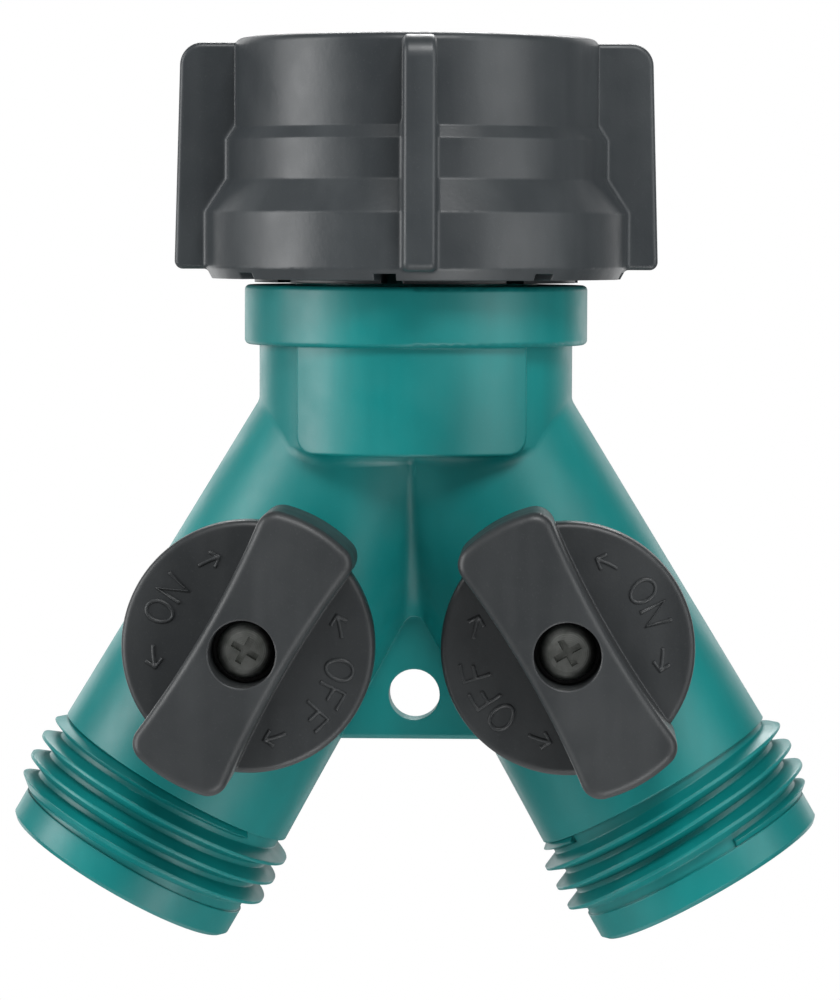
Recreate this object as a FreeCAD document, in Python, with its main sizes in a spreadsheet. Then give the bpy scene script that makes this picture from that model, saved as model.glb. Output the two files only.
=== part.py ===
import FreeCAD, Part
import math
import os
import re
import Sketcher
from FreeCAD import Placement, Rotation, Vector

# A garden-hose splitter. A swivel nut screws on a tap, and a Y-shaped body carries the water to
# two male hose outlets, each with a quarter-turn ball valve. Millimetres and degrees.
# The origin is the centre of the nut's mouth, +Z is the way out of the mouth, and the handles
# face -Y. Depths are measured down from the mouth. Along a leg, places are measured from the
# apex, where the legs' axes meet; across a leg, towards the handle, from the leg's axis.
SIZES = {
    # three-quarter inch garden hose thread, 11.5 turns to the inch
    "thread_pitch": 2.2087,
    "thread_crest_width": 0.3,
    "thread_flank_width": 0.8,
    "thread_overlap": 0.2,
    "thread_runout": 1.4,

    # swivel nut: three stepped tiers, widest at the foot
    "nut_turn": 2.8,
    "mouth_radius": 14.0,
    "mouth_depth": 3.0,
    "mouth_rounding": 0.8,
    "top_tier_radius": 17.75,
    "top_tier_end": 8.7,
    "mid_tier_start": 9.9,
    "mid_tier_radius": 18.5,
    "mid_tier_end": 13.7,
    "low_tier_start": 16.9,
    "low_tier_radius": 20.55,
    "low_tier_end": 22.2,
    "tier_rounding": 0.5,
    "heel_radius": 19.95,
    "heel_end": 23.3,
    "hub_radius": 15.8,
    "nut_height": 23.65,
    "female_major_radius": 13.7,
    "female_minor_radius": 12.4,
    "female_thread_start": 3.3,
    "female_thread_end": 11.3,
    "lip_radius": 12.1,
    "lip_start": 17.9,

    # wings round the nut, for the fingers
    "wing_count": 4,
    "wing_root": 15.5,
    "wing_top_reach": 23.0,
    "wing_foot_reach": 23.6,
    "wing_top": 0.4,
    "wing_foot": 22.4,
    "wing_thickness": 3.1,
    "wing_shoulder": 2.2,
    "wing_foot_rounding": 0.8,
    "wing_edge_rounding": 0.5,
    "wing_seam_rounding": 0.5,

    # slots that let the nut's lip spring over the body's flange
    "slot_count": 8,
    "slot_turn": 35.9,
    "slot_width": 2.1,
    "slot_top": 22.65,

    # rubber washer in the nut
    "washer_top": 11.6,
    "washer_radius": 13.4,
    "washer_bore_radius": 8.3,
    "washer_rounding": 0.4,

    # flange, spigot, collar and neck of the body
    "flange_top": 14.6,
    "flange_radius": 13.3,
    "flange_end": 17.6,
    "spigot_radius": 11.8,
    "collar_top": 23.9,
    "collar_radius": 16.75,
    "collar_end": 29.7,
    "collar_rounding": 0.5,
    "neck_radius": 15.3,
    "neck_end": 40.0,
    "neck_rounding": 0.8,
    "neck_bore_radius": 8.2,
    "neck_bore_end": 33.0,

    # blank raised pad on the front of the neck
    "pad_radius": 15.9,
    "pad_half_width": 10.95,
    "pad_rounding": 1.7,
    "pad_edge_rounding": 0.3,

    # legs
    "leg_tilt": 30.0,
    "apex_depth": 31.7,
    "leg_top_radius": 11.3,
    "leg_end_radius": 12.4,
    "leg_length": 58.2,
    "leg_seam_rounding": 1.2,
    "tip_radius": 12.1,
    "tip_chamfer": 0.4,
    "thread_root_radius": 11.9,
    "thread_crest_radius": 13.5,
    "thread_start": 46.9,
    "thread_end": 55.3,
    "left_thread_turn": -137.0,
    "right_thread_turn": -40.0,
    "water_way_radius": 6.0,
    "pocket_start": 21.9,
    "pocket_radius": 8.4,

    # web between the legs, with a hole to hang the splitter by
    "web_thickness": 3.5,
    "web_top": 50.0,
    "web_end": 68.4,
    "web_top_half_width": 2.0,
    "web_end_half_width": 9.6,
    "web_rounding": 0.5,
    "hang_hole_radius": 2.5,
    "hang_hole_depth": 64.0,

    # boss that carries the valve stem, and the lug that stops the handle
    "valve_place": 30.1,
    "boss_radius": 9.2,
    "boss_root": 7.0,
    "boss_top": 16.2,
    "boss_rounding": 0.4,
    "boss_seam_rounding": 1.2,
    "stem_bore_radius": 3.3,
    "stem_seat_radius": 4.6,
    "stem_seat_top": 10.3,
    "stop_inner_radius": 6.6,
    "stop_outer_radius": 8.2,
    "stop_width": 20.0,
    "stop_top": 17.3,
    "stop_place": 80.0,
    "stop_play": 2.0,
    "quarter_turn": 90.0,

    # valve ball and its seats
    "ball_radius": 8.0,
    "ball_bore_radius": 4.6,
    "slot_floor": 5.8,
    "ball_slot_width": 3.0,
    "seat_gap": 0.1,
    "seat_radius": 8.3,
    "seat_bore_radius": 5.0,
    "seat_thickness": 3.3,

    # sleeve that holds the outer seat, with its O-ring
    "sleeve_end": 57.4,
    "sleeve_radius": 8.35,
    "sleeve_bore_radius": 5.5,
    "sleeve_groove_start": 44.0,
    "sleeve_groove_end": 45.7,
    "sleeve_groove_radius": 6.85,
    "sleeve_ring_cord": 0.74,
    "sleeve_rounding": 0.3,

    # valve stem, thrust washer and stem O-rings
    "tang_floor": 5.9,
    "tang_width": 2.8,
    "tang_length": 7.0,
    "stem_foot": 8.1,
    "stem_flange_radius": 4.4,
    "stem_flange_top": 9.6,
    "stem_radius": 3.25,
    "stem_top": 19.8,
    "stem_flat_start": 16.3,
    "stem_flat_radius": 2.9,
    "stem_flat_width": 4.4,
    "stem_screw_floor": 12.5,
    "stem_screw_radius": 1.25,
    "ring_groove_radius": 2.05,
    "ring_groove_width": 1.4,
    "lower_ring_place": 12.0,
    "upper_ring_place": 14.4,
    "ring_cord": 0.58,

    # handle: a disc with a waisted grip bar across it
    "handle_foot": 16.6,
    "disc_radius": 11.95,
    "disc_face": 19.5,
    "disc_rounding": 0.6,
    "bar_half_length": 13.7,
    "bar_end_half_width": 5.05,
    "bar_waist_half_width": 4.2,
    "bar_face": 27.0,
    "bar_corner": 1.9,
    "bar_edge": 0.9,
    "socket_top": 20.0,
    "socket_play": 0.05,
    "well_radius": 3.15,
    "well_floor": 21.0,
    "handle_screw_radius": 1.65,
    "stop_groove_top": 17.8,
    "stop_groove_play": 0.25,

    # handle screw with a cross recess
    "screw_head_radius": 2.7,
    "screw_head_height": 1.9,
    "screw_head_crown": 0.9,
    "screw_shank_radius": 1.2,
    "screw_end": 12.9,
    "cross_length": 2.7,
    "cross_width": 0.62,
    "cross_depth": 1.3,
}
SHEET_NAME = "sizes"
SIDES = (("left", -1), ("right", 1))
CUT_PAST = "1"
FULL_TURN = 360.0
CLOSE = 0.05

doc = FreeCAD.newDocument("hose_splitter")
sheet = doc.addObject("Spreadsheet::Sheet", SHEET_NAME)
sub_parts = []


def fill_sheet():
    """Writes each driving size in a row of its own: its name, its value and an alias."""
    for row, (alias, size) in enumerate(SIZES.items(), start=1):
        sheet.set(f"A{row}", alias)
        sheet.set(f"B{row}", str(size))
        sheet.setAlias(f"B{row}", alias)
    doc.recompute()


# ---------------------------------------------------------------- formulas and placing


def formula(text):
    """The text as an expression, with each size's name made a cell of the sheet."""
    return re.sub(r"[a-z][a-z_]*", lambda word: cell_or_word(word[0]), str(text))


def cell_or_word(word):
    """The sheet's cell for a size's name, and any other word, such as sin, as it is."""
    return f"{SHEET_NAME}.{word}" if word in SIZES else word


def value(text):
    """The number that a formula comes to now."""
    return float(sheet.evalExpression(formula(text)))


def tie(thing, **formulas):
    """Ties properties of a document object to formulas over the sheet."""
    for name, text in formulas.items():
        thing.setExpression(name, formula(text))


def place(thing, x="0", y="0", z="0", rotation=Rotation()):
    """Gives an object its rotation, and a place tied to the sheet."""
    thing.Placement = Placement(Vector(value(x), value(y), value(z)), rotation)
    thing.setExpression("Placement.Base.x", formula(x))
    thing.setExpression("Placement.Base.y", formula(y))
    thing.setExpression("Placement.Base.z", formula(z))
    return thing


def along_leg(thing, direction, distance="0"):
    """Places an object so that its Z axis runs out along a leg, from a place on its axis."""
    across = f"{direction}*({distance})*sin(leg_tilt)"
    down = f"-apex_depth-({distance})*cos(leg_tilt)"
    rotation = Rotation(Vector(0, 1, 0), 180 - direction * SIZES["leg_tilt"])
    return place(thing, x=across, z=down, rotation=rotation)


def facing_handle(thing, direction, turn=0.0):
    """Places an object so that its Z axis is the valve stem's and its Y axis the leg's."""
    across = f"{direction}*valve_place*sin(leg_tilt)"
    down = "-apex_depth-valve_place*cos(leg_tilt)"
    forwards = Rotation(Vector(1, 0, 0), 90)
    lean = Rotation(Vector(0, 0, 1), direction * SIZES["leg_tilt"] + turn)
    return place(thing, x=across, z=down, rotation=forwards * lean)


# ---------------------------------------------------------------- sketches


def corner_arc(before, corner, after, radius):
    """The arc that rounds a corner: its two ends, the arc, and whether it runs anticlockwise."""
    back = (before - corner).normalize()
    ahead = (after - corner).normalize()
    half_angle = back.getAngle(ahead) / 2
    reach = radius / math.tan(half_angle)
    middle = (back + ahead).normalize()
    centre = corner + middle * (radius / math.sin(half_angle))
    first = corner + back * reach
    last = corner + ahead * reach
    anticlockwise = back.cross(ahead).z < 0
    ends = (first, last) if anticlockwise else (last, first)
    angles = [math.atan2(end.y - centre.y, end.x - centre.x) for end in ends]
    circle = Part.Circle(centre, Vector(0, 0, 1), radius)
    return first, last, Part.ArcOfCircle(circle, *angles), anticlockwise


def fix_point(sketch, geometry, end, corner):
    """Ties a point of a sketch to a corner's two formulas."""
    for kind, text in zip(("DistanceX", "DistanceY"), corner):
        rule = Sketcher.Constraint(kind, -1, 1, geometry, end, value(text))
        index = sketch.addConstraint(rule)
        sketch.setExpression(f"Constraints[{index}]", formula(text))


def outline(sketch, corners):
    """Draws a closed outline of straight edges, tied to the sheet.

    Each corner is (x, y), or (x, y, radius) where it is rounded. All are formulas.
    """
    places = [Vector(value(corner[0]), value(corner[1]), 0) for corner in corners]
    count = len(corners)
    arcs = {}
    starts = list(places)
    ends = list(places)
    for i, corner in enumerate(corners):
        if len(corner) == 3:
            before, after = places[i - 1], places[(i + 1) % count]
            arcs[i] = corner_arc(before, places[i], after, value(corner[2]))
            ends[i], starts[i] = arcs[i][0], arcs[i][1]
    lines = []
    for i in range(count):
        following = (i + 1) % count
        lines.append(sketch.addGeometry(Part.LineSegment(starts[i], ends[following]), False))
    for i, corner in enumerate(corners):
        before, after = lines[i - 1], lines[i]
        if i in arcs:
            round_corner(sketch, before, after, arcs[i], places[i], corner)
        else:
            sketch.addConstraint(Sketcher.Constraint("Coincident", before, 2, after, 1))
            fix_point(sketch, after, 1, corner)


def round_corner(sketch, before, after, rounding, place_now, corner):
    """Joins two edges by a tangent arc, with the sharp corner kept as a construction point."""
    _, _, shape, anticlockwise = rounding
    arc = sketch.addGeometry(shape, False)
    first, last = (1, 2) if anticlockwise else (2, 1)
    sharp = sketch.addGeometry(Part.Point(place_now), True)
    fix_point(sketch, sharp, 1, corner)
    sketch.addConstraint(Sketcher.Constraint("Tangent", before, 2, arc, first))
    sketch.addConstraint(Sketcher.Constraint("Tangent", after, 1, arc, last))
    sketch.addConstraint(Sketcher.Constraint("PointOnObject", sharp, 1, before))
    sketch.addConstraint(Sketcher.Constraint("PointOnObject", sharp, 1, after))
    radius = sketch.addConstraint(Sketcher.Constraint("Radius", arc, value(corner[2])))
    sketch.setExpression(f"Constraints[{radius}]", formula(corner[2]))


def sketch_in(body, plane_role):
    """A new sketch on one of the body's own origin planes."""
    sketch = body.newObject("Sketcher::SketchObject", body.Name + "_sketch")
    planes = [plane for plane in body.Origin.OriginFeatures if plane.Role == plane_role]
    sketch.AttachmentSupport = [(planes[0], "")]
    sketch.MapMode = "FlatFace"
    return sketch


# ---------------------------------------------------------------- solids


def turned(name, corners):
    """A body turned about Z, from an outline of (radius, height) corners."""
    body = doc.addObject("PartDesign::Body", name)
    sketch = sketch_in(body, "XZ_Plane")
    outline(sketch, corners)
    revolution = body.newObject("PartDesign::Revolution", name + "_revolution")
    revolution.Profile = sketch
    revolution.ReferenceAxis = (sketch, ["V_Axis"])
    revolution.Angle = FULL_TURN
    return body


def plate(name, corners, thickness):
    """A body of even thickness, centred on the XZ plane, from (x, z) corners."""
    body = doc.addObject("PartDesign::Body", name)
    sketch = sketch_in(body, "XZ_Plane")
    outline(sketch, corners)
    pad = body.newObject("PartDesign::Pad", name + "_pad")
    pad.Profile = sketch
    pad.SideType = "Symmetric"
    tie(pad, Length=thickness)
    doc.recompute()
    return body


def with_rounded_edges(name, base, radius, wanted):
    """A body made from another piece, with the edges that the test picks rounded."""
    body = doc.addObject("PartDesign::Body", name)
    body.BaseFeature = base
    doc.recompute()
    return round_edges(body, radius, wanted)


def round_edges(body, radius, wanted):
    """Rounds the edges of a body's last feature that the test picks."""
    last = body.Tip
    names = [f"Edge{i}" for i, edge in enumerate(last.Shape.Edges, start=1) if wanted(edge)]
    fillet = body.newObject("PartDesign::Fillet", body.Name + "_fillet")
    fillet.Base = (last, names)
    tie(fillet, Radius=radius)
    doc.recompute()
    return body


def cylinder(name, radius, foot, top, sector=None):
    """A cylinder on Z between two heights, or a sector of one."""
    piece = doc.addObject("Part::Cylinder", name)
    tie(piece, Radius=radius, Height=f"({top})-({foot})")
    if sector:
        tie(piece, Angle=sector)
    return place(piece, z=foot)


def block(name, x_size, y_size, foot, top, y_place=None):
    """A box centred on Z between two heights."""
    piece = doc.addObject("Part::Box", name)
    tie(piece, Length=x_size, Width=y_size, Height=f"({top})-({foot})")
    return place(piece, x=f"-({x_size})/2", y=y_place or f"-({y_size})/2", z=foot)


def joined(name, pieces, refine=False):
    """The union of pieces. Refined, faces that lie in one surface become one."""
    union = doc.addObject("Part::MultiFuse", name)
    union.Shapes = pieces
    union.Refine = refine
    return union


def shared(name, pieces):
    """What pieces have in common."""
    common = doc.addObject("Part::MultiCommon", name)
    common.Shapes = pieces
    return common


def cut(name, base, tools):
    """A piece with other pieces taken away."""
    difference = doc.addObject("Part::Cut", name)
    difference.Base = base
    difference.Tool = tools[0] if len(tools) == 1 else joined(name + "_tools", tools)
    return difference


def sector_ring(name, inner, outer, foot, top, sector):
    """A part of a ring, from the X axis anticlockwise, between two heights."""
    outside = cylinder(name + "_outside", outer, foot, top, sector)
    inside = cylinder(name + "_inside", inner, f"({foot})-{CUT_PAST}", f"({top})+{CUT_PAST}")
    return cut(name, outside, [inside])


def thread(name, wall, crest, foot, top, start_turn=0.0):
    """A right-hand thread ridge round Z that runs out at both ends.

    It rises from the wall radius to the crest radius, outwards or inwards.
    """
    start = Rotation(Vector(0, 0, 1), start_turn)
    helix = doc.addObject("Part::Helix", name + "_helix")
    helix.SegmentLength = 1.0
    tie(helix, Pitch="thread_pitch", Radius=wall, Height=f"({top})-({foot})")
    place(helix, z=foot, rotation=start)
    outwards = 1 if value(crest) > value(wall) else -1
    buried = f"{wall}-{outwards}*thread_overlap"
    root_half = "thread_crest_width/2+thread_flank_width"
    profile = doc.addObject("Sketcher::SketchObject", name + "_profile")
    outline(profile, [
        (buried, f"-({root_half})"), (crest, "-thread_crest_width/2"),
        (crest, "thread_crest_width/2"), (buried, root_half)])
    place(profile, z=foot, rotation=start * Rotation(Vector(1, 0, 0), 90))
    ridge = doc.addObject("Part::Sweep", name + "_ridge")
    ridge.Sections = [profile]
    ridge.Spine = (helix, [])
    ridge.Solid = True
    ridge.Frenet = True
    far = f"{wall}-{outwards}*2*thread_overlap"
    envelope = turned(name + "_envelope", [
        (far, foot), (wall, foot), (crest, f"{foot}+thread_runout"),
        (crest, f"{top}-thread_runout"), (wall, top), (far, top)])
    return shared(name, [ridge, envelope])


def keep(piece, node):
    """Names a finished sub-part, which gives it its file."""
    piece.Label = node
    sub_parts.append(piece)


# ---------------------------------------------------------------- swivel nut


def nut_shell():
    """The nut turned on a lathe: three tiers outside, thread wall and snap lip inside."""
    return turned("nut_shell", [
        ("mouth_radius", "0"),
        ("top_tier_radius", "0", "mouth_rounding"),
        ("top_tier_radius", "-top_tier_end"),
        ("mid_tier_radius", "-mid_tier_start"),
        ("mid_tier_radius", "-mid_tier_end", "tier_rounding"),
        ("low_tier_radius", "-low_tier_start", "tier_rounding"),
        ("low_tier_radius", "-low_tier_end", "tier_rounding"),
        ("heel_radius", "-heel_end"),
        ("hub_radius", "-heel_end"),
        ("hub_radius", "-nut_height"),
        ("lip_radius", "-nut_height"),
        ("lip_radius", "-lip_start"),
        ("female_major_radius", "-lip_start"),
        ("female_major_radius", "-mouth_depth"),
        ("mouth_radius", "-mouth_depth"),
    ])


def wing(number):
    """One finger wing, standing out of the nut's wall from top to foot."""
    body = plate(f"wing_{number}", [
        ("wing_root", "-wing_top"),
        ("wing_top_reach", "-wing_top", "wing_shoulder"),
        ("wing_foot_reach", "-wing_foot", "wing_foot_rounding"),
        ("wing_root", "-wing_foot"),
    ], "wing_thickness")
    root = value("wing_root")
    round_edges(body, "wing_edge_rounding", lambda edge: is_wing_rim(edge, root))
    body.Placement = Placement(Vector(), Rotation(Vector(0, 0, 1), wing_angle(number)))
    return body


def wing_angle(number):
    """A wing's place round the nut."""
    return number * FULL_TURN / SIZES["wing_count"]


def is_wing_rim(edge, root):
    """Whether an edge runs round a wing's flat side, away from its root."""
    box = edge.BoundBox
    return box.YLength < CLOSE and box.XMax > root + CLOSE


def is_wing_seam(edge):
    """Whether an edge is where a wing's flat side meets the nut's outer wall."""
    box = edge.BoundBox
    half = value("wing_thickness/2")
    on_side = any(length < CLOSE and abs(abs(side) - half) < CLOSE
                  for length, side in ((box.XLength, box.XMax), (box.YLength, box.YMax)))
    reach = max(box.XMax, box.YMax, -box.XMin, -box.YMin)
    below_top = box.ZMax < -value("wing_top+wing_edge_rounding") - CLOSE
    above_foot = box.ZMin > -value("wing_foot-wing_edge_rounding") - CLOSE
    return on_side and reach < value("low_tier_radius") + CLOSE and below_top and above_foot


def lip_slot(number):
    """One of the slots in the nut's lip."""
    slot = block(f"lip_slot_{number}", "slot_width", "2*low_tier_radius",
                 f"-nut_height-{CUT_PAST}", "-slot_top", y_place="0")
    angle = number * FULL_TURN / SIZES["slot_count"] + SIZES["slot_turn"]
    turn = Rotation(Vector(0, 0, 1), angle)
    slot.setExpression("Placement.Base.x", None)
    slot.setExpression("Placement.Base.y", None)
    corner = turn.multVec(Vector(-SIZES["slot_width"] / 2, 0, 0))
    slot.Placement = Placement(Vector(corner.x, corner.y, slot.Placement.Base.z), turn)
    return slot


def swivel_nut():
    """The nut with its wings, slots and female thread."""
    wings = [wing(number) for number in range(SIZES["wing_count"])]
    female = thread("female_thread", "female_major_radius", "female_minor_radius",
                    "-female_thread_end", "-female_thread_start")
    walls = joined("nut_walls", [nut_shell()] + wings, refine=True)
    soft_walls = with_rounded_edges("nut_soft_walls", walls, "wing_seam_rounding", is_wing_seam)
    blank = joined("nut_blank", [soft_walls, female])
    slots = [lip_slot(number) for number in range(SIZES["slot_count"])]
    nut = cut("nut", blank, slots)
    nut.Placement = Placement(Vector(), Rotation(Vector(0, 0, 1), SIZES["nut_turn"]))
    keep(nut, "swivel_nut")


def inlet_washer():
    """The flat rubber washer between the tap's rim and the body's flange."""
    thick = "(flange_top-washer_top)"
    washer = turned("washer", [
        ("washer_bore_radius", "0", "washer_rounding"),
        ("washer_radius", "0", "washer_rounding"),
        ("washer_radius", thick, "washer_rounding"),
        ("washer_bore_radius", thick, "washer_rounding"),
    ])
    keep(place(washer, z="-flange_top"), "inlet_washer")


# ---------------------------------------------------------------- Y body


def neck():
    """Flange, spigot, collar and neck, one under the other on the inlet axis."""
    return turned("neck", [
        ("0", "-flange_top"),
        ("flange_radius", "-flange_top", "collar_rounding"),
        ("flange_radius", "-flange_end"),
        ("spigot_radius", "-flange_end"),
        ("spigot_radius", "-collar_top"),
        ("collar_radius", "-collar_top", "collar_rounding"),
        ("collar_radius", "-collar_end", "collar_rounding"),
        ("neck_radius", "-collar_end"),
        ("neck_radius", "-neck_end", "neck_rounding"),
        ("0", "-neck_end"),
    ])


def front_pad():
    """The raised pad on the neck's front, curved with it and rounded at its lower corners."""
    band = cylinder("pad_band", "pad_radius", "-neck_end", "-collar_end")
    face = plate("pad_face", [
        ("-pad_half_width", "-collar_end+collar_rounding"),
        ("pad_half_width", "-collar_end+collar_rounding"),
        ("pad_half_width", "-neck_end", "pad_rounding"),
        ("-pad_half_width", "-neck_end", "pad_rounding"),
    ], "2*pad_radius")
    front_half = block("pad_front", "2*pad_radius", "pad_radius", "-neck_end", "-collar_end",
                       y_place="-pad_radius")
    pad = shared("front_pad", [band, face, front_half])
    return with_rounded_edges("front_pad_soft", pad, "pad_edge_rounding", is_pad_rim)


def is_pad_rim(edge):
    """Whether an edge is at a side or the foot of the pad's curved face."""
    box = edge.BoundBox
    in_front = box.YMax < -value("sqrt(pad_radius^2-pad_half_width^2)") + CLOSE
    return in_front and box.ZMin < -value("collar_end") - CLOSE


def leg(side, direction):
    """One leg, with the root of its male thread and the plain tip beyond it."""
    body = turned(f"{side}_leg", [
        ("0", "0"),
        ("leg_top_radius", "0"),
        ("leg_end_radius", "thread_start"),
        ("thread_root_radius", "thread_start"),
        ("thread_root_radius", "thread_end"),
        ("tip_radius", "thread_end"),
        ("tip_radius", "leg_length-tip_chamfer"),
        ("tip_radius-tip_chamfer", "leg_length"),
        ("0", "leg_length"),
    ])
    return along_leg(body, direction)


def male_thread(side, direction):
    """The hose thread round the end of one leg."""
    ridge = thread(f"{side}_thread", "thread_root_radius", "thread_crest_radius",
                   "thread_start", "thread_end", SIZES[f"{side}_thread_turn"])
    return along_leg(ridge, direction)


def leg_way(side, direction):
    """The water way down one leg, and the pocket for the ball, its seats and the sleeve."""
    hollow = turned(f"{side}_way", [
        ("0", "0"),
        ("water_way_radius", "0"),
        ("water_way_radius", "pocket_start"),
        ("pocket_radius", "pocket_start"),
        ("pocket_radius", "leg_length-tip_chamfer"),
        ("pocket_radius+tip_chamfer", "leg_length"),
        ("pocket_radius+tip_chamfer", f"leg_length+{CUT_PAST}"),
        ("0", f"leg_length+{CUT_PAST}"),
    ])
    return along_leg(hollow, direction)


def boss(side, direction):
    """The round boss on a leg's front that carries the valve stem."""
    body = turned(f"{side}_boss", [
        ("0", "boss_root"),
        ("boss_radius", "boss_root"),
        ("boss_radius", "boss_top", "boss_rounding"),
        ("0", "boss_top"),
    ])
    return facing_handle(body, direction)


def stop_lug(side, direction):
    """The lug on the boss that the handle's groove runs round."""
    lug = sector_ring(f"{side}_stop", "stop_inner_radius", "stop_outer_radius",
                      "boss_top-boss_rounding", "stop_top", "stop_width")
    return facing_handle(lug, direction, SIZES["stop_place"])


def stem_way(side, direction):
    """The bore through a boss, with a wider seat inside for the stem's flange."""
    hollow = turned(f"{side}_stem_way", [
        ("0", "0"),
        ("stem_seat_radius", "0"),
        ("stem_seat_radius", "stem_seat_top"),
        ("stem_bore_radius", "stem_seat_top"),
        ("stem_bore_radius", f"boss_top+{CUT_PAST}"),
        ("0", f"boss_top+{CUT_PAST}"),
    ])
    return facing_handle(hollow, direction)


def web():
    """The flat web that fills the fork between the legs, rounded along its foot."""
    body = plate("web", [
        ("-web_top_half_width", "-web_top"),
        ("web_top_half_width", "-web_top"),
        ("web_end_half_width", "-web_end"),
        ("-web_end_half_width", "-web_end"),
    ], "web_thickness")
    foot = -value("web_end")
    return round_edges(body, "web_rounding", lambda edge: is_foot_line(edge, foot))


def is_foot_line(edge, foot):
    """Whether an edge runs along X at the given height."""
    box = edge.BoundBox
    return box.ZMax < foot + CLOSE and box.YLength < CLOSE


def hang_hole():
    """The round hole through the web."""
    hole = cylinder("hang_hole", "hang_hole_radius", "0", f"web_thickness+2*{CUT_PAST}")
    return place(hole, y=f"web_thickness/2+{CUT_PAST}", z="-hang_hole_depth",
                 rotation=Rotation(Vector(1, 0, 0), 90))


def is_seam(edge):
    """Whether an edge is where two round pieces run into each other."""
    return isinstance(edge.Curve, (Part.BSplineCurve, Part.Ellipse))


def is_boss_seam(edge):
    """Whether an edge is the closed seam round a boss's foot."""
    return is_seam(edge) and edge.isClosed()


def fork():
    """Neck, legs, bosses and web, with the seams between the round ones rounded as moulded."""
    legs = [leg(side, direction) for side, direction in SIDES]
    bosses = [boss(side, direction) for side, direction in SIDES]
    trunk = joined("trunk", [neck()] + legs, refine=True)
    soft_trunk = with_rounded_edges("soft_trunk", trunk, "leg_seam_rounding", is_seam)
    carrier = joined("carrier", [soft_trunk] + bosses, refine=True)
    soft_carrier = with_rounded_edges(
        "soft_carrier", carrier, "boss_seam_rounding", is_boss_seam)
    return joined("webbed", [soft_carrier, web()], refine=True)


def y_body():
    """The one-piece moulded body: fork, pad, threads and handle stops, all hollow."""
    solids = [fork(), front_pad()]
    hollows = [hang_hole(), cylinder("neck_way", "neck_bore_radius", "-neck_bore_end", "0")]
    for side, direction in SIDES:
        solids += [male_thread(side, direction), stop_lug(side, direction)]
        hollows += [leg_way(side, direction), stem_way(side, direction)]
    keep(cut("body_shell", joined("body_blank", solids), hollows), "y_body")


# ---------------------------------------------------------------- ball valves


def valve_ball(side, direction):
    """The ball, bored along the leg, with a slot on its front for the stem's tang."""
    ball = doc.addObject("Part::Sphere", f"{side}_sphere")
    tie(ball, Radius="ball_radius")
    bore = cylinder(f"{side}_ball_bore", "ball_bore_radius", "-2*ball_radius", "2*ball_radius")
    slot = block(f"{side}_ball_slot", "2*ball_radius", "ball_radius", "-ball_slot_width/2",
                 "ball_slot_width/2", y_place="-slot_floor-ball_radius")
    piece = cut(f"{side}_ball", ball, [bore, slot])
    keep(along_leg(piece, direction, "valve_place"), f"{side}_valve_ball")


def valve_seat(side, direction, which):
    """A seat ring, hollowed to the ball, on the inlet side or the outlet side of it."""
    name = f"{side}_{which}_seat"
    outlet_side = which == "outer"
    far = "valve_place-pocket_start"
    near = f"{far}-seat_thickness"
    foot, top = (near, far) if outlet_side else (f"-({far})", f"-({near})")
    ring = cylinder(name + "_ring", "seat_radius", foot, top)
    bore = cylinder(name + "_bore", "seat_bore_radius", f"{foot}-{CUT_PAST}", f"{top}+{CUT_PAST}")
    dish = doc.addObject("Part::Sphere", name + "_dish")
    tie(dish, Radius="ball_radius+seat_gap")
    keep(along_leg(cut(name + "_cut", ring, [bore, dish]), direction, "valve_place"), name)


def seat_retainer(side, direction):
    """The sleeve pressed up the outlet, with a groove round it for its O-ring."""
    start = "2*valve_place-pocket_start"
    sleeve = turned(f"{side}_sleeve", [
        ("sleeve_bore_radius", start),
        ("sleeve_radius", start),
        ("sleeve_radius", "sleeve_groove_start"),
        ("sleeve_groove_radius", "sleeve_groove_start"),
        ("sleeve_groove_radius", "sleeve_groove_end"),
        ("sleeve_radius", "sleeve_groove_end"),
        ("sleeve_radius", "sleeve_end", "sleeve_rounding"),
        ("sleeve_bore_radius", "sleeve_end", "sleeve_rounding"),
    ])
    keep(along_leg(sleeve, direction), f"{side}_seat_retainer")


def o_ring(name, place_on_axis, groove_radius, cord):
    """An O-ring round Z, lying on the floor of its groove."""
    ring = doc.addObject("Part::Torus", name)
    tie(ring, Radius1=f"{groove_radius}+{cord}", Radius2=cord)
    return place(ring, z=place_on_axis)


def retainer_o_ring(side, direction):
    """The O-ring that seals the sleeve in the outlet."""
    ring = o_ring(f"{side}_sleeve_ring", "0", "sleeve_groove_radius", "sleeve_ring_cord")
    middle = "(sleeve_groove_start+sleeve_groove_end)/2"
    keep(along_leg(ring, direction, middle), f"{side}_retainer_o_ring")


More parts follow.
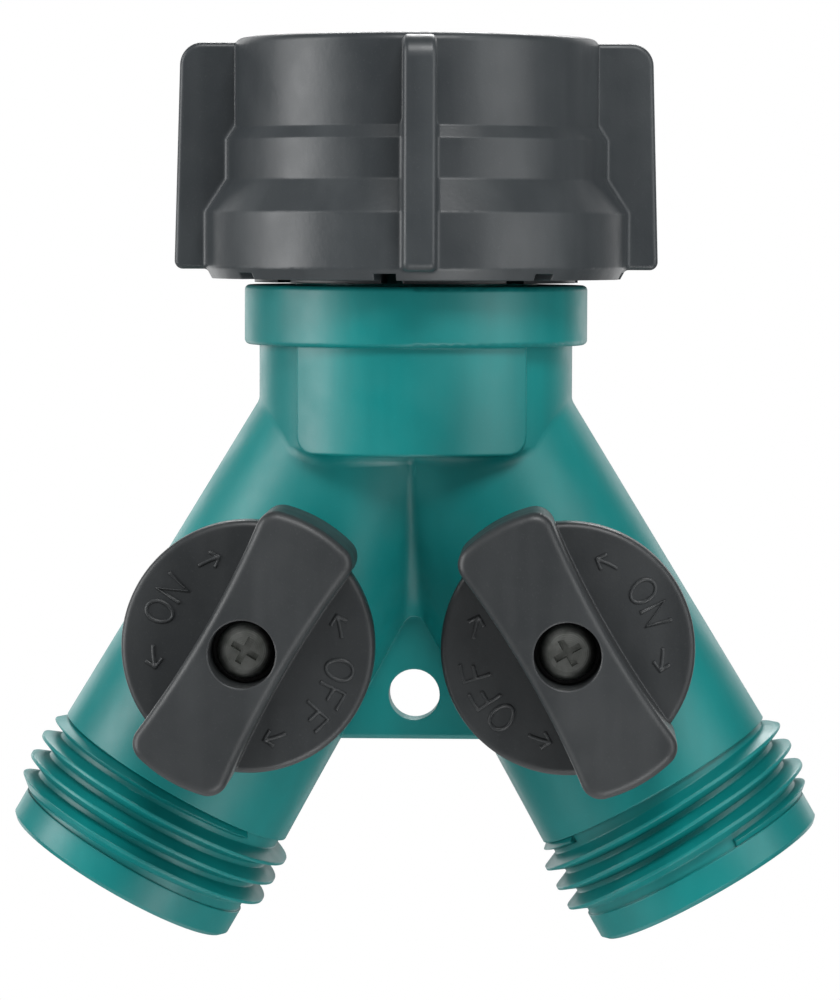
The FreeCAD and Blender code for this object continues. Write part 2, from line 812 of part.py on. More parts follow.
def valve_stem(side, direction):
    """The stem: tang, flange, two O-ring grooves, and flats that drive the handle."""
    grooves = []
    for ring_place in ("lower_ring_place", "upper_ring_place"):
        grooves += [
            ("stem_radius", f"{ring_place}-ring_groove_width/2"),
            ("ring_groove_radius", f"{ring_place}-ring_groove_width/2"),
            ("ring_groove_radius", f"{ring_place}+ring_groove_width/2"),
            ("stem_radius", f"{ring_place}+ring_groove_width/2"),
        ]
    shaft = turned(f"{side}_shaft", [
        ("0", "stem_foot"),
        ("stem_flange_radius", "stem_foot"),
        ("stem_flange_radius", "stem_flange_top"),
        ("stem_radius", "stem_flange_top"),
        *grooves,
        ("stem_radius", "stem_flat_start"),
        ("0", "stem_flat_start"),
    ])
    drive = shared(f"{side}_drive", [
        cylinder(f"{side}_drive_round", "stem_flat_radius", "stem_flat_start", "stem_top"),
        block(f"{side}_drive_flats", "stem_flat_width", "3*stem_flat_radius",
              "stem_flat_start", "stem_top"),
    ])
    tang = block(f"{side}_tang", "tang_length", "tang_width", "tang_floor", "stem_foot")
    blank = joined(f"{side}_stem_blank", [shaft, drive, tang])
    hole = cylinder(f"{side}_screw_hole", "stem_screw_radius", "stem_screw_floor",
                    f"stem_top+{CUT_PAST}")
    keep(facing_handle(cut(f"{side}_stem", blank, [hole]), direction), f"{side}_valve_stem")


def stem_o_rings(side, direction):
    """The two O-rings of a stem, kept as one group."""
    group = doc.addObject("Part::Compound", f"{side}_stem_rings")
    group.Links = [
        o_ring(f"{side}_lower_ring", "lower_ring_place", "ring_groove_radius", "ring_cord"),
        o_ring(f"{side}_upper_ring", "upper_ring_place", "ring_groove_radius", "ring_cord"),
    ]
    keep(facing_handle(group, direction), f"{side}_stem_o_rings")


def thrust_washer(side, direction):
    """The washer between the stem's flange and the boss."""
    washer = turned(f"{side}_thrust", [
        ("stem_bore_radius", "stem_flange_top+socket_play"),
        ("stem_flange_radius", "stem_flange_top+socket_play"),
        ("stem_flange_radius", "stem_seat_top"),
        ("stem_bore_radius", "stem_seat_top"),
    ])
    keep(facing_handle(washer, direction), f"{side}_thrust_washer")


# ---------------------------------------------------------------- handles


def grip_bar(side):
    """The waisted bar across the handle, with ends that follow a circle round the stem."""
    body = doc.addObject("PartDesign::Body", f"{side}_bar")
    sketch = sketch_in(body, "XY_Plane")
    draw_waisted_bar(sketch)
    pad = body.newObject("PartDesign::Pad", f"{side}_bar_pad")
    pad.Profile = sketch
    tie(pad, Length="bar_face-handle_foot")
    doc.recompute()
    height = value("bar_face-handle_foot")
    round_edges(body, "bar_corner", is_upright)
    round_edges(body, "bar_edge", lambda edge: edge.BoundBox.ZMin > height - CLOSE)
    return place(body, z="handle_foot")


def is_upright(edge):
    """Whether an edge runs along Z."""
    box = edge.BoundBox
    return box.XLength + box.YLength < CLOSE


def draw_waisted_bar(sketch):
    """Two arcs round the centre for the ends, and two hollow arcs for the sides."""
    end_half = value("bar_end_half_width")
    half_length = value("bar_half_length")
    shoulder = math.sqrt(half_length**2 - end_half**2)
    waist = value("bar_waist_half_width")
    right_top = Vector(end_half, shoulder, 0)
    right_foot = Vector(end_half, -shoulder, 0)
    left_top = Vector(-end_half, shoulder, 0)
    left_foot = Vector(-end_half, -shoulder, 0)
    top_end = Part.Arc(right_top, Vector(0, half_length, 0), left_top)
    left_side = Part.Arc(left_top, Vector(-waist, 0, 0), left_foot)
    foot_end = Part.Arc(left_foot, Vector(0, -half_length, 0), right_foot)
    right_side = Part.Arc(right_foot, Vector(waist, 0, 0), right_top)
    top, left, foot, right = [
        sketch.addGeometry(arc, False) for arc in (top_end, left_side, foot_end, right_side)]
    # an end arc runs anticlockwise, and a side arc, hollow to the outside, runs clockwise
    for end_arc, side_arc in ((top, left), (foot, right)):
        sketch.addConstraint(Sketcher.Constraint("Coincident", end_arc, 2, side_arc, 2))
    for side_arc, end_arc in ((left, foot), (right, top)):
        sketch.addConstraint(Sketcher.Constraint("Coincident", side_arc, 1, end_arc, 1))
    for end_arc in (top, foot):
        sketch.addConstraint(Sketcher.Constraint("Coincident", end_arc, 3, -1, 1))
    fix_point(sketch, top, 1, ("bar_end_half_width",
                               "sqrt(bar_half_length^2-bar_end_half_width^2)"))
    sketch.addConstraint(Sketcher.Constraint("Symmetric", top, 1, top, 2, -2))
    sketch.addConstraint(Sketcher.Constraint("Symmetric", top, 2, foot, 1, -1))
    sketch.addConstraint(Sketcher.Constraint("PointOnObject", right, 3, -1))
    sagitta = "(bar_end_half_width-bar_waist_half_width)"
    chord = "(bar_half_length^2-bar_end_half_width^2)"
    side_radius = f"({chord}+{sagitta}^2)/(2*{sagitta})"
    for side_arc in (left, right):
        index = sketch.addConstraint(Sketcher.Constraint("Radius", side_arc, value(side_radius)))
        sketch.setExpression(f"Constraints[{index}]", formula(side_radius))


def valve_handle(side, direction):
    """The quarter-turn handle: disc and bar, screw well, drive socket and stop groove."""
    disc = turned(f"{side}_disc", [
        ("0", "handle_foot"),
        ("disc_radius", "handle_foot", "disc_rounding"),
        ("disc_radius", "disc_face", "disc_rounding"),
        ("0", "disc_face"),
    ])
    well = cylinder(f"{side}_well", "well_radius", "well_floor", f"bar_face+{CUT_PAST}")
    hole = cylinder(f"{side}_handle_hole", "handle_screw_radius", "handle_foot", "bar_face")
    socket = shared(f"{side}_socket", [
        cylinder(f"{side}_socket_round", "stem_flat_radius+socket_play",
                 f"handle_foot-{CUT_PAST}", "socket_top"),
        block(f"{side}_socket_flats", "stem_flat_width+2*socket_play", "3*stem_flat_radius",
              f"handle_foot-{CUT_PAST}", "socket_top"),
    ])
    groove = sector_ring(f"{side}_stop_groove", "stop_inner_radius-stop_groove_play",
                         "stop_outer_radius+stop_groove_play", f"handle_foot-{CUT_PAST}",
                         "stop_groove_top", "quarter_turn+stop_width+2*stop_play")
    turn = Rotation(Vector(0, 0, 1), SIZES["stop_place"] - SIZES["stop_play"])
    groove.Placement = Placement(Vector(), turn)
    blank = joined(f"{side}_handle_blank", [disc, grip_bar(side)])
    handle = cut(f"{side}_handle", blank, [well, hole, socket, groove])
    keep(facing_handle(handle, direction), f"{side}_valve_handle")


def handle_screw(side, direction):
    """The pan-head screw in the handle's well, with a cross recess."""
    head_top = "well_floor+screw_head_height"
    blank = turned(f"{side}_screw_blank", [
        ("0", "screw_end"),
        ("screw_shank_radius", "screw_end+screw_shank_radius"),
        ("screw_shank_radius", "well_floor"),
        ("screw_head_radius", "well_floor"),
        ("screw_head_radius", head_top, "screw_head_crown"),
        ("0", head_top),
    ])
    recess = [
        block(f"{side}_cross_along", "cross_length", "cross_width",
              f"{head_top}-cross_depth", f"{head_top}+{CUT_PAST}"),
        block(f"{side}_cross_over", "cross_width", "cross_length",
              f"{head_top}-cross_depth", f"{head_top}+{CUT_PAST}"),
    ]
    screw = cut(f"{side}_screw", blank, recess)
    keep(facing_handle(screw, direction), f"{side}_handle_screw")


# ---------------------------------------------------------------- the whole splitter


def check_document():
    """Stops if any object failed, or if a sub-part has no valid solid."""
    doc.recompute()
    for thing in doc.Objects:
        if "Invalid" in thing.State or "Error" in thing.State:
            raise RuntimeError(f"{thing.Name} failed: {thing.State}")
    for piece in sub_parts:
        if piece.Shape.isNull() or not piece.Shape.isValid() or not piece.Shape.Solids:
            raise RuntimeError(f"{piece.Label} has no valid solid")


def write_parts():
    """Writes each sub-part to a file of its own."""
    os.makedirs("parts", exist_ok=True)
    for piece in sub_parts:
        piece.Shape.exportStep(os.path.join("parts", piece.Label + ".step"))
        box = piece.Shape.BoundBox
        print(f"{piece.Label}: {len(piece.Shape.Solids)} solid, {piece.Shape.Volume:.1f} mm3, "
              f"x {box.XMin:.2f} to {box.XMax:.2f}, y {box.YMin:.2f} to {box.YMax:.2f}, "
              f"z {box.ZMin:.2f} to {box.ZMax:.2f}")


fill_sheet()
swivel_nut()
inlet_washer()
y_body()
for side_name, side_direction in SIDES:
    valve_ball(side_name, side_direction)
    valve_seat(side_name, side_direction, "inner")
    valve_seat(side_name, side_direction, "outer")
    seat_retainer(side_name, side_direction)
    retainer_o_ring(side_name, side_direction)
    valve_stem(side_name, side_direction)
    stem_o_rings(side_name, side_direction)
    thrust_washer(side_name, side_direction)
    valve_handle(side_name, side_direction)
    handle_screw(side_name, side_direction)
check_document()
write_parts()
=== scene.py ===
"""The hose splitter's looks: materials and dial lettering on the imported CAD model, and its studio."""
import math

import bpy
from mathutils import Matrix, Vector


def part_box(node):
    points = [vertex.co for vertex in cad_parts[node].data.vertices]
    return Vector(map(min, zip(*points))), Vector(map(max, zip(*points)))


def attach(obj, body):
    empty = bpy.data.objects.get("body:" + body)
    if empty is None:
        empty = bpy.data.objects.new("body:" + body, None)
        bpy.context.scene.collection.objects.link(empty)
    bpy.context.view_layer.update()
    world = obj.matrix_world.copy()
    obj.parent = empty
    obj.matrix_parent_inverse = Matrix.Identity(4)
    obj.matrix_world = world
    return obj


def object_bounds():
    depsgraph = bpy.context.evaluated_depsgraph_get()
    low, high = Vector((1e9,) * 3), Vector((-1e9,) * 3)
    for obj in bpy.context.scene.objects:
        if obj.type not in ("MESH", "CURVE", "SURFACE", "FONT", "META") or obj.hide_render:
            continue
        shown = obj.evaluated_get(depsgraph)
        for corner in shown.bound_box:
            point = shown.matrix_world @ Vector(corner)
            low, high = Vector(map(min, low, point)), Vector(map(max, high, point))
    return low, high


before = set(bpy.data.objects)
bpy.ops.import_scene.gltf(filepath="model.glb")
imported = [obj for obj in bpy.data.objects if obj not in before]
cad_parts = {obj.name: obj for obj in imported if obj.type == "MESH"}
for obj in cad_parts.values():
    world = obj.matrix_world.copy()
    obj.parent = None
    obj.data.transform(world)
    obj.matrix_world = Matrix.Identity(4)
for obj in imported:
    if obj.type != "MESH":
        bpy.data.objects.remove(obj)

MM = 0.001
CAD_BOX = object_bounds()

# The camera, as the photograph was taken: a little to the right of the part and a little above its
# middle. The roll is in degrees, the view's height is at the target, the sensor is in millimetres as
# Blender takes it, and the nearest and furthest distances seen are in metres.
CAMERA_TARGET = Vector((0.45, 0.0, -45.0)) * MM
CAMERA_PLACE = Vector((15.5, -430.0, -18.95)) * MM
CAMERA_ROLL = 0.2
VIEW_HEIGHT = 98.15 * MM
SENSOR = 36.0
NEAREST_SEEN = 0.01
FURTHEST_SEEN = 50.0

# The floor, in metres: far enough under the part to take no shadow in the main view. It is solid at
# its middle, begins to fade at the clear radius and is gone at its rim.
FLOOR_DROP = 0.75
FLOOR_RADIUS = 1.3
FLOOR_CLEAR = 0.25
FLOOR_STEPS = 96
FLOOR_DARKER = (0.90, 0.90, 0.90, 1)
FLOOR_LIGHTER = (0.93, 0.93, 0.93, 1)
FLOOR_ROUGHNESS = 0.9

# Lettering on each dial: raised strokes on the face of the disc, with a word on each side of the
# bar. Their middle line is sunk a little under the face, which is at a fixed depth.
SIDES = (("left", -1), ("right", 1))
DISC_FACE = -19.5 * MM
BAR_TILT = 30.0
LETTER_SINK = 0.05 * MM
LETTER_RADIUS = 8.9 * MM
LETTER_HEIGHT = 2.6 * MM
LETTER_SPACING = 0.98
STROKE_WIDTH = 0.4 * MM
STROKE_ROUNDING = 2
CLOSED_GAP = 0.05 * MM
ROUND_STEPS = 24

# The letters' shapes, in parts of their height, from the middle of each letter's foot.
O_HALF_WIDTH = 0.36
N_HALF_WIDTH = 0.32
F_STEM = -0.28
F_TOP_ARM = 0.30
F_LOW_ARM = 0.20
F_LOW_ARM_HEIGHT = 0.54

# The arrows beside each word, in degrees round the dial: how long they are, and how far the middle
# of each is from the middle of its word. The barbs are in parts of the letters' height.
ARROW_SPAN = 14.0
ARROW_REACH = {"ON": 36.0, "OFF": 43.0}
ARROW_BARB = 0.3
ARC_STEPS = 10

# Colours are linear. A plastic has its colour, its darker clouds, the lighter tone of its flow lines
# and of its rubbed edges, where it is partly wear and partly a painted highlight, its roughness, the
# depth of its skin grain and how far its edges are worn round.
PLASTICS = {
    "body_plastic": (
        (0.0010, 0.194, 0.190, 1), (0.0008, 0.170, 0.168, 1), (0.006, 0.285, 0.276, 1),
        0.40, 0.006 * MM, 0.22 * MM,
    ),
    "nut_plastic": (
        (0.036, 0.042, 0.046, 1), (0.028, 0.033, 0.037, 1), (0.085, 0.095, 0.100, 1),
        0.38, 0.010 * MM, 0.25 * MM,
    ),
    "handle_plastic": (
        (0.028, 0.031, 0.033, 1), (0.022, 0.025, 0.027, 1), (0.070, 0.075, 0.078, 1),
        0.42, 0.012 * MM, 0.30 * MM,
    ),
    "ball_plastic": (
        (0.62, 0.62, 0.58, 1), (0.52, 0.52, 0.48, 1), (0.80, 0.80, 0.77, 1),
        0.22, 0.004 * MM, 0.15 * MM,
    ),
    "seat_plastic": (
        (0.74, 0.73, 0.68, 1), (0.64, 0.63, 0.57, 1), (0.86, 0.85, 0.82, 1),
        0.48, 0.006 * MM, 0.10 * MM,
    ),
    "sleeve_plastic": (
        (0.020, 0.022, 0.023, 1), (0.015, 0.017, 0.018, 1), (0.060, 0.064, 0.066, 1),
        0.40, 0.008 * MM, 0.15 * MM,
    ),
    "stem_plastic": (
        (0.50, 0.50, 0.46, 1), (0.42, 0.42, 0.38, 1), (0.70, 0.70, 0.66, 1),
        0.35, 0.006 * MM, 0.12 * MM,
    ),
}
# A rubber has its colour, its dust and its roughness.
RUBBERS = {
    "washer_rubber": ((0.012, 0.012, 0.013, 1), (0.055, 0.054, 0.052, 1), 0.70),
    "ring_rubber": ((0.010, 0.010, 0.011, 1), (0.040, 0.040, 0.038, 1), 0.55),
}
STEEL = (0.56, 0.58, 0.55, 1)
STEEL_TARNISH = (0.34, 0.36, 0.33, 1)

# Noise patterns: the number of grains to a metre, the layers of finer detail, and the stretch along
# each axis, where less than 1 draws the pattern out.
EVENLY = (1.0, 1.0, 1.0)
NOISE_ROUGHNESS = 0.55
PATTERNS = {
    "clouds": (70.0, 4.0, EVENLY),
    "flow_lines": (160.0, 3.0, (1.0, 1.0, 0.12)),
    "speckle": (5200.0, 2.0, EVENLY),
    "rubbed_and_sheen_patches": (900.0, 3.0, EVENLY),
    "smears": (240.0, 5.0, EVENLY),
    "skin_grain": (2600.0, 3.0, EVENLY),
    "skin_waves": (420.0, 2.0, EVENLY),
    "dust": (300.0, 5.0, EVENLY),
    "rubber_wear": (700.0, 3.0, EVENLY),
    "fine_pits": (4200.0, 4.0, EVENLY),
    "wide_pits": (900.0, 3.0, EVENLY),
    "tarnish": (900.0, 5.0, EVENLY),
    "steel_wear": (1600.0, 3.0, EVENLY),
    "scratches": (2400.0, 2.0, (1.0, 1.0, 0.1)),
    "floor_mottle": (3.0, 4.0, EVENLY),
}

# How far a pattern shows: noise from the first value to the second gives from the third to the fourth.
MIDDLE_NOISE = (0.3, 0.7)
SHOWN = {
    "clouds": (*MIDDLE_NOISE, 0.0, 1.0),
    "flow_lines": (0.45, 0.75, 0.0, 0.35),
    "speckle": (0.62, 0.75, 0.0, 0.25),
    # Edges lighter in patches: partly wear, partly a painted highlight along the edges.
    "rubbed_and_sheen_patches": (0.35, 0.6, 0.2, 0.55),
    "dust": (0.45, 0.75, 0.0, 0.5),
    "tarnish": (0.45, 0.7, 0.0, 0.8),
    "steel_wear": (*MIDDLE_NOISE, 0.28, 0.45),
    "floor_mottle": (*MIDDLE_NOISE, 0.0, 1.0),
}

# Plastic: how much smoother and rougher its smears are, how much smoother its rubbed edges are, and
# the depth of the waves in its skin, in parts of its grain. An edge counts as rubbed, and takes its
# lighter tone, partly wear and partly a painted highlight, where the cosine between the worn surface
# and the sharp one is under the first value, and fully so at the second.
SMEAR_SMOOTHER = 0.05
SMEAR_ROUGHER = 0.07
EDGE_POLISH = 0.08
WAVES_TO_GRAIN = 1.6
PLASTIC_IOR = 1.5
EDGE_SAMPLES = 6
EDGE_LEAN = (0.99, 0.80)

# Rubber: how much smoother and rougher it is worn, and the depth of its pits.
RUBBER_SMOOTHER = 0.08
RUBBER_ROUGHER = 0.1
PIT_DEPTH = 0.02 * MM

# Steel: the rings that the cutting tool leaves, placed and scaled in parts of the screw's own box, how
# far they waver, and the depth of tool marks and scratches.
RING_CENTRE = (-0.5, 0.0, -0.5)
RING_SCALE = 9.0
RING_WAVER = 0.6
TOOL_MARK_DEPTH = 0.006 * MM

# Softboxes aimed at the part: bearing in degrees (0 in front, 90 to its right), degrees above level,
# distance, width and height in metres, and the brightness of its face.
SOFTBOXES = {
    "key_left": (-74, 6, 0.9, (0.46, 1.0), 5.6),
    "fill_right": (58, 6, 1.0, (0.62, 1.0), 2.2),
    "front_high": (14, 48, 1.0, (0.5, 0.3), 14.0),
    "front_low": (26, -42, 1.0, (0.5, 0.3), 7.4),
    "back_high": (178, 40, 1.1, (0.6, 0.4), 11.0),
    "back_left": (-150, 4, 1.2, (0.6, 1.2), 1.6),
    "back_right": (152, 4, 1.2, (0.6, 1.2), 1.3),
}
# The room's brightness as the camera sees it, and as light on the part.
WHITE = (1, 1, 1, 1)
ROOM_SEEN = 1.0
ROOM_LIGHT = 0.13


# ---------------------------------------------------------------- node helpers

def new_material(name):
    """An empty node material with its Principled shader."""
    material = bpy.data.materials.new(name)
    material.use_nodes = True
    return material, material.node_tree.nodes["Principled BSDF"]


def add_node(material, kind, settings=None, inputs=None):
    """A node of that kind, with its settings, and its inputs set to values or linked to sockets."""
    node = material.node_tree.nodes.new(kind)
    for name, setting in (settings or {}).items():
        setattr(node, name, setting)
    for name, source in (inputs or {}).items():
        feed(material, node.inputs[name], source)
    return node


def feed(material, socket, source):
    """Links a socket to another, or sets its value."""
    if isinstance(source, bpy.types.NodeSocket):
        material.node_tree.links.new(source, socket)
    else:
        socket.default_value = source


def own_space(material, stretch):
    """Coordinates fixed to the piece, stretched along its axes."""
    place = add_node(material, "ShaderNodeTexCoord")
    mapping = add_node(material, "ShaderNodeMapping", inputs={"Vector": place.outputs["Object"]})
    mapping.inputs["Scale"].default_value = stretch
    return mapping.outputs["Vector"]


def noise(material, pattern):
    """The noise of a pattern, from 0 to 1."""
    scale, detail, stretch = PATTERNS[pattern]
    inputs = {
        "Vector": own_space(material, stretch),
        "Scale": scale,
        "Detail": detail,
        "Roughness": NOISE_ROUGHNESS,
    }
    return add_node(material, "ShaderNodeTexNoise", inputs=inputs).outputs["Fac"]


def remap(material, value, low, high, new_low, new_high):
    """Spreads low..high of a value over new_low..new_high, and holds it there outside."""
    inputs = {
        "Value": value,
        "From Min": low,
        "From Max": high,
        "To Min": new_low,
        "To Max": new_high,
    }
    return add_node(material, "ShaderNodeMapRange", inputs=inputs).outputs["Result"]


def shown(material, pattern):
    """How much a pattern shows at each point."""
    return remap(material, noise(material, pattern), *SHOWN[pattern])


def mix_colour(material, factor, first, second):
    """Two colours or colour sockets mixed by a factor socket."""
    node = add_node(material, "ShaderNodeMix", {"data_type": "RGBA"})
    sockets = [socket for socket in node.inputs if socket.enabled]
    for socket, source in zip(sockets, (factor, first, second)):
        feed(material, socket, source)
    return next(socket for socket in node.outputs if socket.enabled)


def math_node(material, operation, first, second):
    """One arithmetic step on two values."""
    node = add_node(material, "ShaderNodeMath", {"operation": operation})
    feed(material, node.inputs[0], first)
    feed(material, node.inputs[1], second)
    return node.outputs[0]


def edge_mask_and_rounding(material, radius):
    """A mask, 1 along sharp edges and 0 on open faces, and the normal of the edges worn round."""
    rounded = add_node(material, "ShaderNodeBevel", {"samples": EDGE_SAMPLES}, {"Radius": radius})
    plain = add_node(material, "ShaderNodeNewGeometry")
    lean = add_node(material, "ShaderNodeVectorMath", {"operation": "DOT_PRODUCT"})
    feed(material, lean.inputs[0], rounded.outputs["Normal"])
    feed(material, lean.inputs[1], plain.outputs["Normal"])
    mask = remap(material, lean.outputs["Value"], *EDGE_LEAN, 0.0, 1.0)
    return mask, rounded.outputs["Normal"]


def bump(material, heights, normal=None):
    """Chains (height socket, depth in metres) pairs into one normal."""
    for height, depth in heights:
        inputs = {"Height": height, "Distance": depth, "Strength": 1.0}
        if normal is not None:
            inputs["Normal"] = normal
        normal = add_node(material, "ShaderNodeBump", inputs=inputs).outputs["Normal"]
    return normal


# ---------------------------------------------------------------- materials

def moulded_plastic(name, colour, shade, pale_tone_and_edge_sheen, roughness, grain, edge_radius):
    """Moulded plastic: clouded pigment, faint flow lines, fine skin grain, rubbed edges with painted
    highlight.
    """
    material, shader = new_material(name)
    tone = mix_colour(material, shown(material, "clouds"), shade, colour)
    tone = mix_colour(material, shown(material, "flow_lines"), tone, pale_tone_and_edge_sheen)
    tone = mix_colour(material, shown(material, "speckle"), tone, pale_tone_and_edge_sheen)
    edges, worn_normal = edge_mask_and_rounding(material, edge_radius)
    # Edges lighter in patches: partly wear, partly a painted highlight along the edges.
    edge_sheen_and_wear = math_node(material, "MULTIPLY", edges, shown(material, "rubbed_and_sheen_patches"))
    tone = mix_colour(material, edge_sheen_and_wear, tone, pale_tone_and_edge_sheen)
    feed(material, shader.inputs["Base Color"], tone)
    smoothest = roughness - SMEAR_SMOOTHER
    roughest = roughness + SMEAR_ROUGHER
    smears = remap(material, noise(material, "smears"), *MIDDLE_NOISE, smoothest, roughest)
    polish = math_node(material, "MULTIPLY", edges, EDGE_POLISH)
    feed(material, shader.inputs["Roughness"], math_node(material, "SUBTRACT", smears, polish))
    skin = [
        (noise(material, "skin_grain"), grain),
        (noise(material, "skin_waves"), grain * WAVES_TO_GRAIN),
    ]
    feed(material, shader.inputs["Normal"], bump(material, skin, worn_normal))
    shader.inputs["IOR"].default_value = PLASTIC_IOR
    return material


def rubber(name, colour, dust, roughness):
    """Black moulded rubber: matt, finely pitted, with a bloom of dust."""
    material, shader = new_material(name)
    tone = mix_colour(material, shown(material, "dust"), colour, dust)
    feed(material, shader.inputs["Base Color"], tone)
    smoothest = roughness - RUBBER_SMOOTHER
    roughest = roughness + RUBBER_ROUGHER
    worn = remap(material, noise(material, "rubber_wear"), *MIDDLE_NOISE, smoothest, roughest)
    feed(material, shader.inputs["Roughness"], worn)
    pits = [
        (noise(material, "fine_pits"), PIT_DEPTH),
        (noise(material, "wide_pits"), PIT_DEPTH),
    ]
    feed(material, shader.inputs["Normal"], bump(material, pits))
    return material


def turned_steel(name, colour, tarnish):
    """Bright screw steel: tool rings about the screw's axis, light tarnish, and scratches."""
    material, shader = new_material(name)
    place = add_node(material, "ShaderNodeTexCoord")
    centred = add_node(material, "ShaderNodeMapping", inputs={"Vector": place.outputs["Generated"]})
    centred.inputs["Location"].default_value = RING_CENTRE
    rings = add_node(material, "ShaderNodeTexWave", {"wave_type": "RINGS", "rings_direction": "Y"})
    feed(material, rings.inputs["Vector"], centred.outputs["Vector"])
    rings.inputs["Scale"].default_value = RING_SCALE
    rings.inputs["Distortion"].default_value = RING_WAVER
    tone = mix_colour(material, shown(material, "tarnish"), colour, tarnish)
    feed(material, shader.inputs["Base Color"], tone)
    feed(material, shader.inputs["Roughness"], shown(material, "steel_wear"))
    marks = [
        (rings.outputs["Fac"], TOOL_MARK_DEPTH),
        (noise(material, "scratches"), TOOL_MARK_DEPTH),
    ]
    feed(material, shader.inputs["Normal"], bump(material, marks))
    shader.inputs["Metallic"].default_value = 1.0
    return material


def all_materials():
    """Every material slot of the record, with its finished material."""
    finished = {}
    for name, look in PLASTICS.items():
        finished[name] = moulded_plastic(name, *look)
    for name, look in RUBBERS.items():
        finished[name] = rubber(name, *look)
    finished["screw_steel"] = turned_steel("screw_steel", STEEL, STEEL_TARNISH)
    return finished


def dress_nodes(finished):
    """Gives each CAD node the finished material of its slot, which its packed material is named for."""
    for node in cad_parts.values():
        for index, packed in enumerate(node.data.materials):
            slot = packed.name.split(".")[0]
            node.data.materials[index] = finished[slot]


# ---------------------------------------------------------------- dial lettering

def letter_outlines():
    """The strokes of the three letters, each a list of its corners, for a letter 1 high."""
    turns = [step * math.tau / ROUND_STEPS for step in range(ROUND_STEPS + 1)]
    ring = [(O_HALF_WIDTH * math.cos(turn), 0.5 + 0.5 * math.sin(turn)) for turn in turns]
    zigzag = [
        (-N_HALF_WIDTH, 0.0),
        (-N_HALF_WIDTH, 1.0),
        (N_HALF_WIDTH, 0.0),
        (N_HALF_WIDTH, 1.0),
    ]
    stem_and_top = [(F_STEM, 0.0), (F_STEM, 1.0), (F_TOP_ARM, 1.0)]
    low_arm = [(F_STEM, F_LOW_ARM_HEIGHT), (F_LOW_ARM, F_LOW_ARM_HEIGHT)]
    return {"O": [ring], "N": [zigzag], "F": [stem_and_top, low_arm]}


def on_dial(hub, bearing, across, above):
    """A point of the disc's face at a bearing round its hub, moved along the rim and outwards."""
    reach = LETTER_RADIUS + above
    turn = math.radians(bearing) + across / LETTER_RADIUS
    return Vector((
        hub.x + reach * math.sin(turn),
        DISC_FACE + LETTER_SINK,
        hub.z + reach * math.cos(turn),
    ))


def word_strokes(hub, word, bearing):
    """The strokes of a word read clockwise round the rim, the letters' heads outwards."""
    outlines = letter_outlines()
    width = LETTER_HEIGHT * LETTER_SPACING
    strokes = []
    for place, letter in enumerate(word):
        start = (place - (len(word) - 1) / 2) * width
        for outline in outlines[letter]:
            strokes.append([
                on_dial(hub, bearing, start + x * LETTER_HEIGHT, (y - 0.5) * LETTER_HEIGHT)
                for x, y in outline
            ])
    return strokes


def arrow_strokes(hub, bearing, way):
    """A short curved arrow along the rim, pointing clockwise for way 1 and back for way -1."""
    length = math.radians(ARROW_SPAN) * LETTER_RADIUS
    shaft = [
        on_dial(hub, bearing, way * length * (step / ARC_STEPS - 0.5), 0.0)
        for step in range(ARC_STEPS + 1)
    ]
    tip = way * length / 2
    barb = LETTER_HEIGHT * ARROW_BARB
    head = [
        on_dial(hub, bearing, tip - way * barb, barb),
        on_dial(hub, bearing, tip, 0.0),
        on_dial(hub, bearing, tip - way * barb, -barb),
    ]
    return [shaft, head]


def dial_lettering(side, direction, plastic):
    """ON on the outer half of a dial and OFF on the inner half, each between two arrows."""
    low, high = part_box(f"{side}_handle_screw")
    hub = (low + high) / 2
    bearings = {
        "ON": direction * (90.0 - BAR_TILT),
        "OFF": -direction * (90.0 + BAR_TILT),
    }
    strokes = []
    for word, bearing in bearings.items():
        strokes += word_strokes(hub, word, bearing)
        for way in (-1, 1):
            strokes += arrow_strokes(hub, bearing + way * ARROW_REACH[word], way)
    piece = raised_strokes(f"{side}_dial_lettering", strokes)
    piece.data.materials.append(plastic)
    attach(piece, f"{side}_valve")


def raised_strokes(name, strokes):
    """A mesh of rounded ridges along the strokes, standing on the disc's face."""
    curve = bpy.data.curves.new(name, "CURVE")
    curve.dimensions = "3D"
    curve.bevel_depth = STROKE_WIDTH / 2
    curve.bevel_resolution = STROKE_ROUNDING
    curve.use_fill_caps = True
    for stroke in strokes:
        closed = (stroke[0] - stroke[-1]).length < CLOSED_GAP
        points = stroke[:-1] if closed else stroke
        spline = curve.splines.new("POLY")
        spline.points.add(len(points) - 1)
        for point, place in zip(spline.points, points):
            point.co = (*place, 1.0)
        spline.use_cyclic_u = closed
    shape = bpy.data.objects.new(name + "_path", curve)
    mesh = bpy.data.meshes.new_from_object(shape)
    bpy.data.objects.remove(shape)
    for polygon in mesh.polygons:
        polygon.use_smooth = True
    mesh.name = name
    piece = bpy.data.objects.new(name, mesh)
    bpy.context.scene.collection.objects.link(piece)
    return piece


# ---------------------------------------------------------------- studio

def pale_floor():
    """A pale, softly mottled floor that fades out into the room at its rim."""
    material, shader = new_material("pale_floor")
    mottle = shown(material, "floor_mottle")
    tone = mix_colour(material, mottle, FLOOR_DARKER, FLOOR_LIGHTER)
    feed(material, shader.inputs["Base Color"], tone)
    shader.inputs["Roughness"].default_value = FLOOR_ROUGHNESS
    place = add_node(material, "ShaderNodeTexCoord")
    reach = add_node(material, "ShaderNodeVectorMath", {"operation": "LENGTH"})
    feed(material, reach.inputs[0], place.outputs["Object"])
    fade = remap(material, reach.outputs["Value"], FLOOR_CLEAR, FLOOR_RADIUS, 1.0, 0.0)
    feed(material, shader.inputs["Alpha"], fade)
    return material


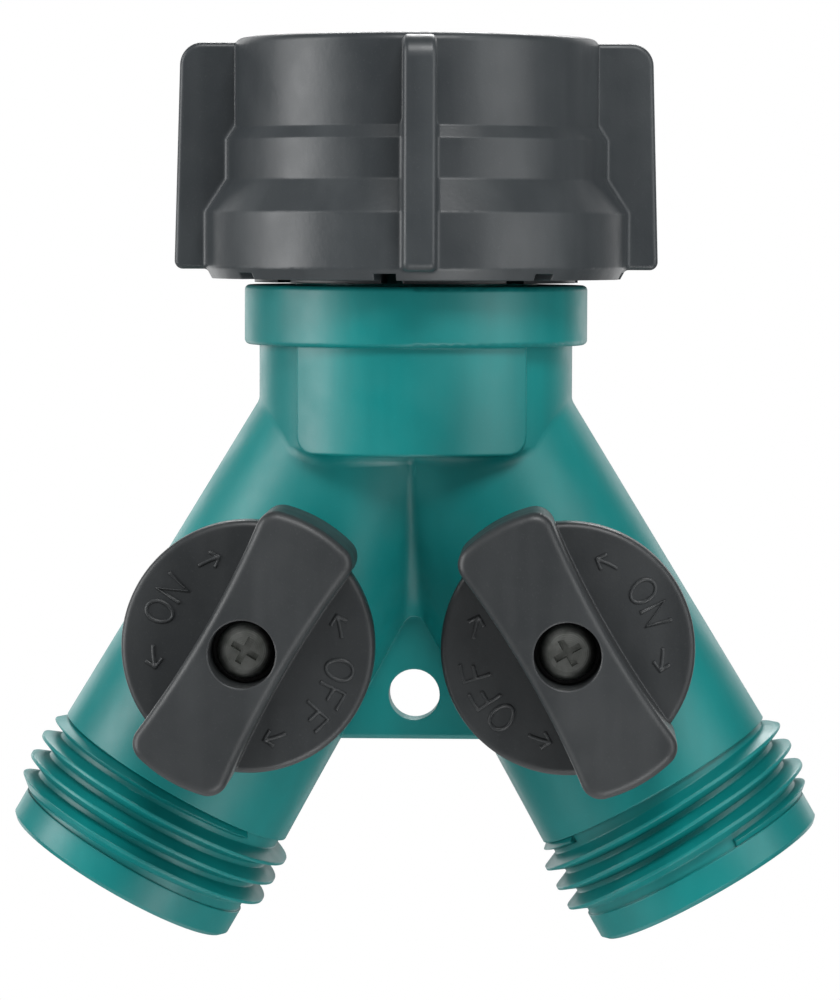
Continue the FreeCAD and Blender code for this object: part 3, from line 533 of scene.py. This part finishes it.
def add_floor(below):
    """A round pale floor, well under the part."""
    mesh = bpy.data.meshes.new("floor")
    turns = [step * math.tau / FLOOR_STEPS for step in range(FLOOR_STEPS)]
    rim = [
        (FLOOR_RADIUS * math.cos(turn), FLOOR_RADIUS * math.sin(turn), 0.0)
        for turn in turns
    ]
    mesh.from_pydata(rim, [], [tuple(range(FLOOR_STEPS))])
    mesh.materials.append(pale_floor())
    floor = bpy.data.objects.new("floor", mesh)
    floor.location.z = below
    bpy.context.scene.collection.objects.link(floor)


def add_world(seen, cast):
    """A plain pale room, with one brightness where the camera sees it and one as light."""
    world = bpy.data.worlds.new("studio")
    bpy.context.scene.world = world
    world.use_nodes = True
    nodes = world.node_tree.nodes
    links = world.node_tree.links
    seen_room = nodes["Background"]
    seen_room.inputs["Color"].default_value = WHITE
    seen_room.inputs["Strength"].default_value = seen
    lit_room = nodes.new("ShaderNodeBackground")
    lit_room.inputs["Color"].default_value = WHITE
    lit_room.inputs["Strength"].default_value = cast
    path = nodes.new("ShaderNodeLightPath")
    mix = nodes.new("ShaderNodeMixShader")
    links.new(path.outputs["Is Camera Ray"], mix.inputs[0])
    links.new(lit_room.outputs[0], mix.inputs[1])
    links.new(seen_room.outputs[0], mix.inputs[2])
    links.new(mix.outputs[0], nodes["World Output"].inputs["Surface"])


def add_softbox(name, centre, bearing, height, distance, size, brightness):
    """A soft rectangular lamp aimed at the centre, which the camera does not see."""
    turn = math.radians(bearing)
    rise = math.radians(height)
    away = Vector((
        math.sin(turn) * math.cos(rise),
        -math.cos(turn) * math.cos(rise),
        math.sin(rise),
    ))
    data = bpy.data.lights.new(name, "AREA")
    data.shape = "RECTANGLE"
    data.size = size[0]
    data.size_y = size[1]
    data.energy = brightness * size[0] * size[1] * math.pi
    lamp = bpy.data.objects.new(name, data)
    lamp.location = centre + away * distance
    lamp.rotation_euler = away.to_track_quat("Z", "Y").to_euler()
    lamp.visible_camera = False
    bpy.context.scene.collection.objects.link(lamp)


def add_studio(centre):
    """Large lamps at the sides, small ones above and below the camera, and some behind."""
    for name, setting in SOFTBOXES.items():
        add_softbox(name, centre, *setting)


def add_camera():
    """The photograph's viewpoint: nearly level with the part, with a long lens."""
    data = bpy.data.cameras.new("camera")
    camera = bpy.data.objects.new("camera", data)
    bpy.context.scene.collection.objects.link(camera)
    sight = CAMERA_TARGET - CAMERA_PLACE
    camera.location = CAMERA_PLACE
    roll = Matrix.Rotation(math.radians(CAMERA_ROLL), 3, "Z")
    camera.rotation_euler = (sight.to_track_quat("-Z", "Y").to_matrix() @ roll).to_euler()
    data.sensor_width = SENSOR
    data.lens = SENSOR * sight.length / VIEW_HEIGHT
    data.clip_start = NEAREST_SEEN
    data.clip_end = FURTHEST_SEEN
    bpy.context.scene.camera = camera


materials = all_materials()
dress_nodes(materials)
for side, direction in SIDES:
    dial_lettering(side, direction, materials["handle_plastic"])
add_camera()
low, high = CAD_BOX
add_studio((low + high) / 2)
add_floor(low.z - FLOOR_DROP)
add_world(ROOM_SEEN, ROOM_LIGHT)
bpy.context.scene.view_settings.view_transform = "Standard"
